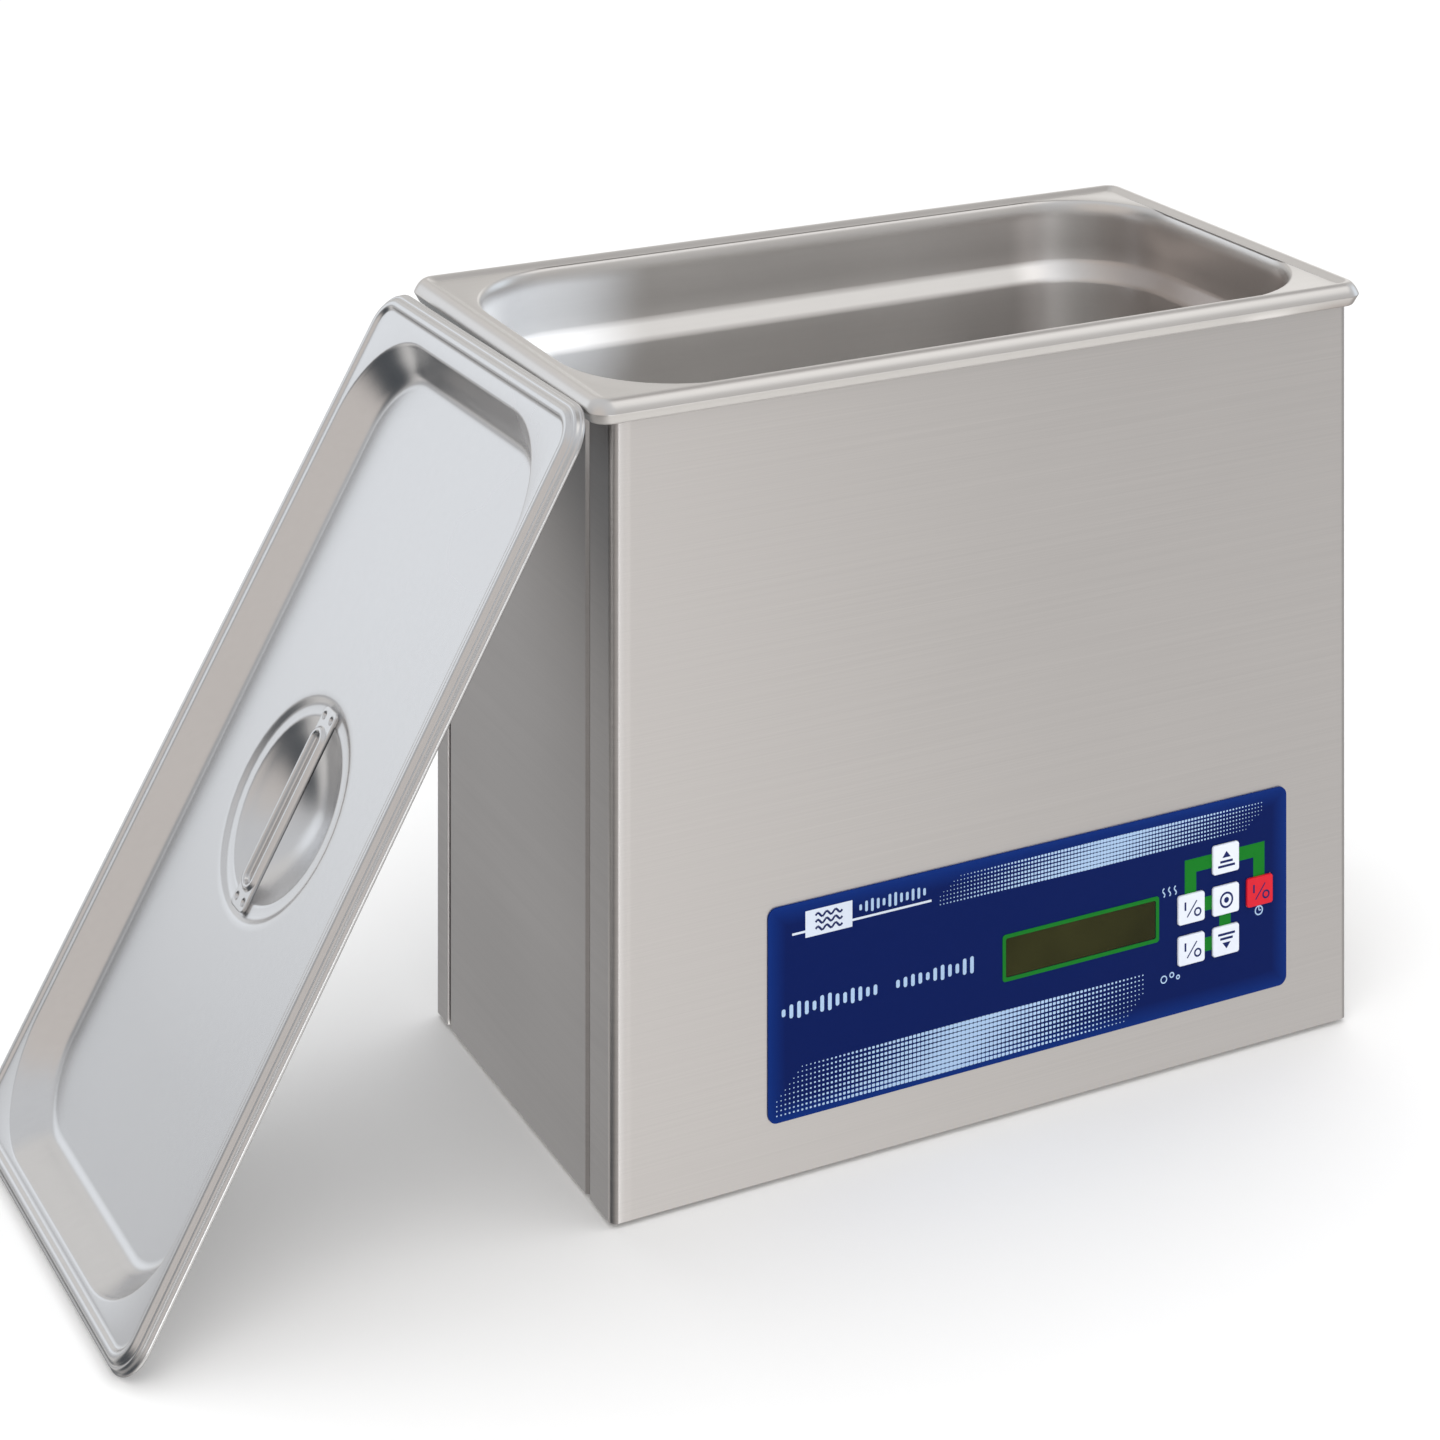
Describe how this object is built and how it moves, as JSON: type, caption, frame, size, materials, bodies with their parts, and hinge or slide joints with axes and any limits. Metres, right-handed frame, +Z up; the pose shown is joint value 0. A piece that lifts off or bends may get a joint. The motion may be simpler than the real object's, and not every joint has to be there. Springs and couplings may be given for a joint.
{
  "type": "ultrasonic cleaner",
  "caption": "Bench-top heated ultrasonic cleaner: folded steel casing, deep-drawn tank, membrane panel with display and keys, drain valve, loose lid leaning at its side.",
  "frame": {"origin": "centre of the casing's footprint, on the table plane under the feet", "axes": "+X to the right, +Y to the back, +Z up; the control panel faces -Y"},
  "size_m": [0.557, 0.1843, 0.2876],
  "materials": {
    "casing_steel": "horizontal brushed",
    "side_steel": "brushed",
    "base_steel": "plain zinc-coated",
    "tank_steel": "drawn satin",
    "lid_steel": "drawn satin",
    "screw_zinc": "zinc plated",
    "foot_rubber": "matt",
    "seal_rubber": "matt",
    "mass_aluminium": "turned",
    "mass_steel": "turned",
    "piezo_ceramic": "silvered ceramic",
    "electrode_copper": "copper",
    "bolt_black": "black oxide",
    "wire_red": "insulation",
    "heater_silicone": "moulded silicone",
    "black_plastic": "moulded",
    "board_green": "solder mask",
    "brass_parts": "plain",
    "coil_tape": "tape and ferrite",
    "capacitor_sleeve": "shrink sleeve",
    "relay_blue": "moulded",
    "lcd_green": "display cell",
    "ribbon_grey": "ribbon",
    "panel_blue": "printed membrane",
    "window_glass": "clear window",
    "panel_green": "printed frame",
    "key_pale": "embossed key",
    "key_red": "embossed key",
    "rocker_red": "moulded",
    "fan_plastic": "moulded",
    "guard_chrome": "plated",
    "hose_silicone": "clear silicone",
    "valve_brass": "cast and turned",
    "seat_white": "moulded",
    "lever_steel": "pressed"
  },
  "bodies": {
    "casing": {"base_plate": "base_steel", "base_screws": "screw_zinc", "board_screws": "screw_zinc", "board_standoffs": "brass_parts", "control_board": "board_green", "control_standoffs": "brass_parts", "display_frame": "panel_green", "display_window": "window_glass", "drain_hose": "hose_silicone", "drain_nipple": "tank_steel", "fan_frame": "fan_plastic", "fan_guard": "guard_chrome", "fan_screws": "screw_zinc", "feet": "foot_rubber", "filter_capacitors": "capacitor_sleeve", "flange_seal": "seal_rubber", "foot_screws": "screw_zinc", "front_shell": "casing_steel", "generator_board": "board_green", "heat_sink": "mass_aluminium", "heater_pads": "heater_silicone", "hose_clamps": "guard_chrome", "inlet_pins": "brass_parts", "lcd_module": "lcd_green", "left_side_panel": "side_steel", "output_transformer": "coil_tape", "panel_overlay": "panel_blue", "piezo_rings": "piezo_ceramic", "power_inlet": "black_plastic", "power_transistors": "black_plastic", "rear_shell": "casing_steel", "relay": "relay_blue", "ribbon_cable": "ribbon_grey", "right_side_panel": "side_steel", "switch_body": "black_plastic", "tact_switches": "black_plastic", "tank": "tank_steel", "temperature_probe": "mass_aluminium", "thermal_cutoff": "black_plastic", "toroid_choke": "electrode_copper", "transducer_back_masses": "mass_steel", "transducer_bolts": "bolt_black", "transducer_electrodes": "electrode_copper", "transducer_front_masses": "mass_aluminium", "transducer_wiring": "wire_red", "valve_body": "valve_brass", "valve_seats": "seat_white"},
    "key_up": {"key_up": "key_pale"},
    "key_set": {"key_set": "key_pale"},
    "key_down": {"key_down": "key_pale"},
    "key_heat": {"key_heat": "key_pale"},
    "key_degas": {"key_degas": "key_pale"},
    "key_time": {"key_time": "key_red"},
    "fuse_drawer": {"fuse_drawer": "black_plastic"},
    "switch_rocker": {"switch_rocker": "rocker_red"},
    "fan_rotor": {"fan_rotor": "fan_plastic"},
    "valve_handle": {"valve_ball": "guard_chrome", "valve_lever": "lever_steel"},
    "lid": {"lid_pan": "lid_steel", "lid_handle": "lid_steel"}
  },
  "joints": [
    {"name": "key_up_press", "type": "slide", "parent": "casing", "child": "key_up", "axis": [0, 1, 0], "range_m": [0, 0.0005], "stiffness_N_per_m": 2000},
    {"name": "key_set_press", "type": "slide", "parent": "casing", "child": "key_set", "axis": [0, 1, 0], "range_m": [0, 0.0005], "stiffness_N_per_m": 2000},
    {"name": "key_down_press", "type": "slide", "parent": "casing", "child": "key_down", "axis": [0, 1, 0], "range_m": [0, 0.0005], "stiffness_N_per_m": 2000},
    {"name": "key_heat_press", "type": "slide", "parent": "casing", "child": "key_heat", "axis": [0, 1, 0], "range_m": [0, 0.0005], "stiffness_N_per_m": 2000},
    {"name": "key_degas_press", "type": "slide", "parent": "casing", "child": "key_degas", "axis": [0, 1, 0], "range_m": [0, 0.0005], "stiffness_N_per_m": 2000},
    {"name": "key_time_press", "type": "slide", "parent": "casing", "child": "key_time", "axis": [0, 1, 0], "range_m": [0, 0.0005], "stiffness_N_per_m": 2000},
    {"name": "fuse_drawer_slide", "type": "slide", "parent": "casing", "child": "fuse_drawer", "axis": [0, 1, 0], "range_m": [0, 0.016]},
    {"name": "rocker_tilt", "type": "hinge", "parent": "casing", "child": "switch_rocker", "pos_m": [0.062, 0.081, 0.048], "axis": [0, 0, -1], "range_deg": [0, 16]},
    {"name": "fan_spin", "type": "hinge", "parent": "casing", "child": "fan_rotor", "pos_m": [-0.105, 0.072, 0.058], "axis": [0, 1, 0], "continuous": true},
    {"name": "drain_valve_turn", "type": "hinge", "parent": "casing", "child": "valve_handle", "pos_m": [0.181, 0.044, 0.053], "axis": [0, 0, 1], "range_deg": [0, 90]},
    {"name": "lid_lift", "type": "slide", "parent": "casing", "child": "lid", "axis": [-0.8651, -0.0287, 0.5008], "range_m": [0, 0.2]}
  ]
}
